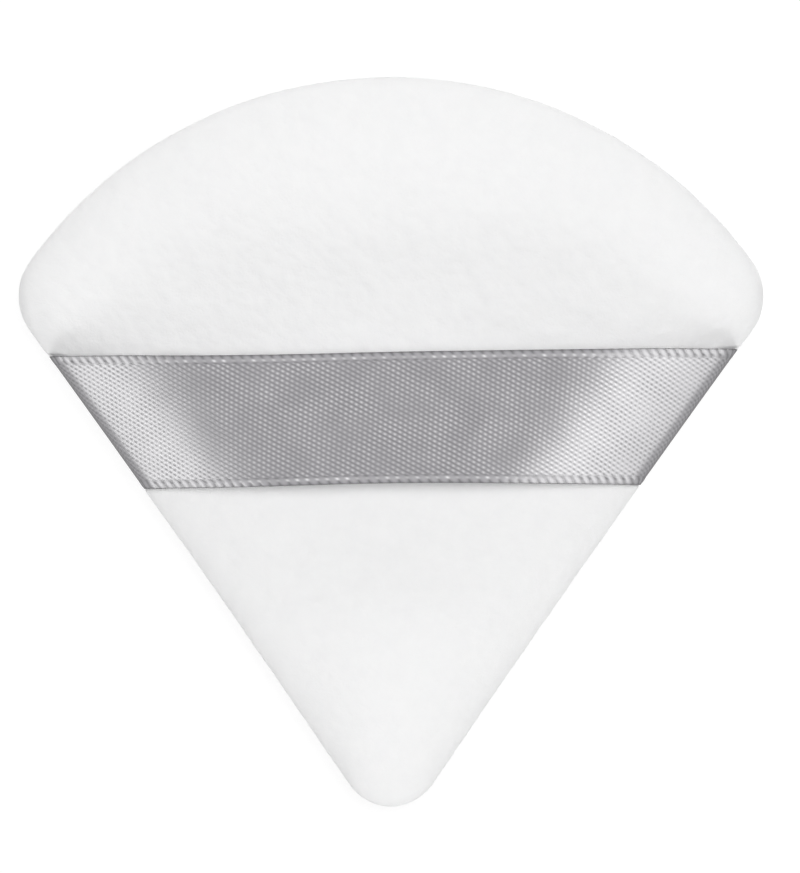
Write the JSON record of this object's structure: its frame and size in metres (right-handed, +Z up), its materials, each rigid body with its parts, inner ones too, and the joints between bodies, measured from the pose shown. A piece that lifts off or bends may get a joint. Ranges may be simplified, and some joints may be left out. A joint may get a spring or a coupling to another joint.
{
  "type": "powder puff",
  "caption": "Fan-shaped velour powder puff with a foam core and an arched satin ribbon finger strap sewn into its side seams.",
  "frame": {"origin": "on the table, under the middle of the outline's bounding box", "axes": "+Z up from the powdering face to the strap, +X along the ribbon strap, +Y from the point of the fan to its curved edge"},
  "size_m": [0.072, 0.0706, 0.0165],
  "materials": {
    "velour": "short dense white pile, matte with a soft sheen",
    "foam": "open-cell soft foam, cream",
    "satin_ribbon": "woven grey satin with corded selvedges",
    "sewing_thread": "white spun polyester thread"
  },
  "bodies": {
    "pad": {"face_panel": "velour", "back_panel": "velour", "foam_core": "foam", "edge_seam_thread": "sewing_thread", "closing_thread": "sewing_thread", "left_tacking_thread": "sewing_thread", "right_tacking_thread": "sewing_thread", "ribbon_left_end": "satin_ribbon", "ribbon_right_end": "satin_ribbon"},
    "strap": {"ribbon_crown": "satin_ribbon"}
  },
  "joints": [
    {"name": "strap_lift", "type": "slide", "parent": "pad", "child": "strap", "axis": [0, 0, 1], "range_m": [-0.004, 0.006], "stiffness_N_per_m": 15, "deforming": ["ribbon_left_end", "ribbon_right_end"]}
  ]
}
